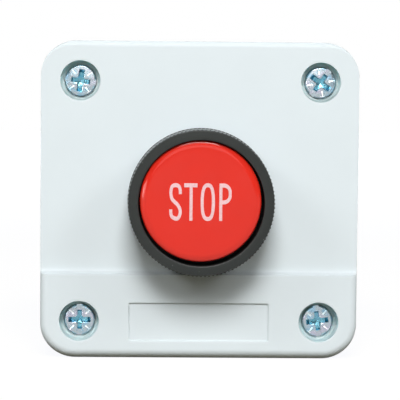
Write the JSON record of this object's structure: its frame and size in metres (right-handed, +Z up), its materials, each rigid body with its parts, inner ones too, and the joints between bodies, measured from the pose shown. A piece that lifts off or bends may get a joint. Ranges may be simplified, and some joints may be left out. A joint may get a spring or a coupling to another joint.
{
  "type": "pushbutton control station",
  "caption": "Square surface-mounted plastic enclosure with one flush red stop pushbutton, a ribbed bezel and a normally closed contact block inside.",
  "frame": {"origin": "middle of the enclosure's flat back, where it meets the wall", "axes": "+Z up, +X to the right as seen from the front, the button faces -Y and is pressed towards +Y"},
  "size_m": [0.068, 0.0625, 0.068],
  "materials": {
    "case_plastic": "fine satin moulding, pale grey",
    "bezel_plastic": "satin, charcoal",
    "head_plastic": "as moulded, black",
    "cap_plastic": "semi-gloss, signal red",
    "natural_plastic": "as moulded, natural",
    "block_plastic": "as moulded, grey",
    "housing_plastic": "as moulded, dark grey",
    "plunger_plastic": "as moulded, red",
    "seal_rubber": "matt, black",
    "zinc_steel": "bright zinc plate, faint blue",
    "spring_steel": "drawn",
    "contact_brass": "rolled",
    "contact_silver": "pressed silver"
  },
  "bodies": {
    "enclosure": {"base": "case_plastic", "lid": "case_plastic", "lid_gasket": "seal_rubber", "lid_screws": "zinc_steel", "head_gasket": "seal_rubber", "bezel": "bezel_plastic", "head_barrel": "head_plastic", "fixing_nut": "head_plastic", "wiper_seal": "seal_rubber", "return_spring": "spring_steel", "block_base": "block_plastic", "block_housing": "housing_plastic", "block_screws": "zinc_steel", "plunger_spring": "spring_steel", "bridge_spring": "spring_steel", "fixed_contact_upper": "contact_brass", "fixed_contact_lower": "contact_brass", "fixed_tips": "contact_silver", "terminal_clamps": "zinc_steel", "terminal_screws": "zinc_steel"},
    "button": {"button_cap": "cap_plastic", "pusher": "natural_plastic", "retaining_clip": "spring_steel"},
    "plunger": {"contact_plunger": "plunger_plastic"},
    "bridge": {"contact_bridge": "contact_brass", "bridge_tips": "contact_silver"}
  },
  "joints": [
    {"name": "button_press", "type": "slide", "parent": "enclosure", "child": "button", "axis": [0, 1, 0], "range_m": [0, 0.0043], "stiffness_N_per_m": 1100, "springref_m": -0.0035, "deforming": ["return_spring"]},
    {"name": "plunger_press", "type": "slide", "parent": "enclosure", "child": "plunger", "axis": [0, 1, 0], "range_m": [0, 0.0043], "stiffness_N_per_m": 500, "springref_m": -0.002, "deforming": ["plunger_spring"]},
    {"name": "bridge_lift", "type": "slide", "parent": "enclosure", "child": "bridge", "axis": [0, 1, 0], "range_m": [0, 0.0028], "deforming": ["bridge_spring"]}
  ],
  "couplings": [
    {"joint": "plunger_press", "follows": "button_press", "ratio": 1},
    {"joint": "bridge_lift", "follows": "button_press", "ratio": 0.65}
  ]
}
